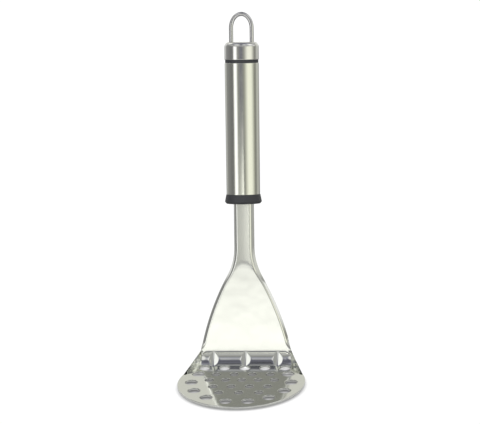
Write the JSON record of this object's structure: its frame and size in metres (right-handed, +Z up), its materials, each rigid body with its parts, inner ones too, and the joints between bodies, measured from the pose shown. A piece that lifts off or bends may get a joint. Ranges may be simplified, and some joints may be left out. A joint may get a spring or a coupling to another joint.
{
  "type": "potato masher",
  "caption": "Hand potato masher: round perforated steel plate, blade bent up at its back edge, hollow steel handle with a wire hanging loop.",
  "frame": {"origin": "centre of the round mashing plate, on its underside", "axes": "+Z up, square to the plate; +Y to the back, where the plate bends up into the handle; +X to the side"},
  "size_m": [0.0926, 0.1558, 0.25],
  "materials": {
    "polished_steel": "polished stainless steel",
    "satin_steel": "satin stainless steel",
    "loop_steel": "bright stainless wire",
    "black_plastic": "matte, fine grain",
    "inner_plastic": "natural",
    "inner_steel": "plain"
  },
  "bodies": {
    "root": {"masher_blade": "polished_steel", "lower_collar": "black_plastic", "tang_core": "inner_plastic", "tang_pins": "inner_steel", "handle_tube": "satin_steel", "spacer_ring": "black_plastic", "end_cap": "polished_steel", "end_plug": "inner_plastic", "loop_anchor_plate": "inner_steel", "hanging_loop": "loop_steel"}
  },
  "joints": []
}
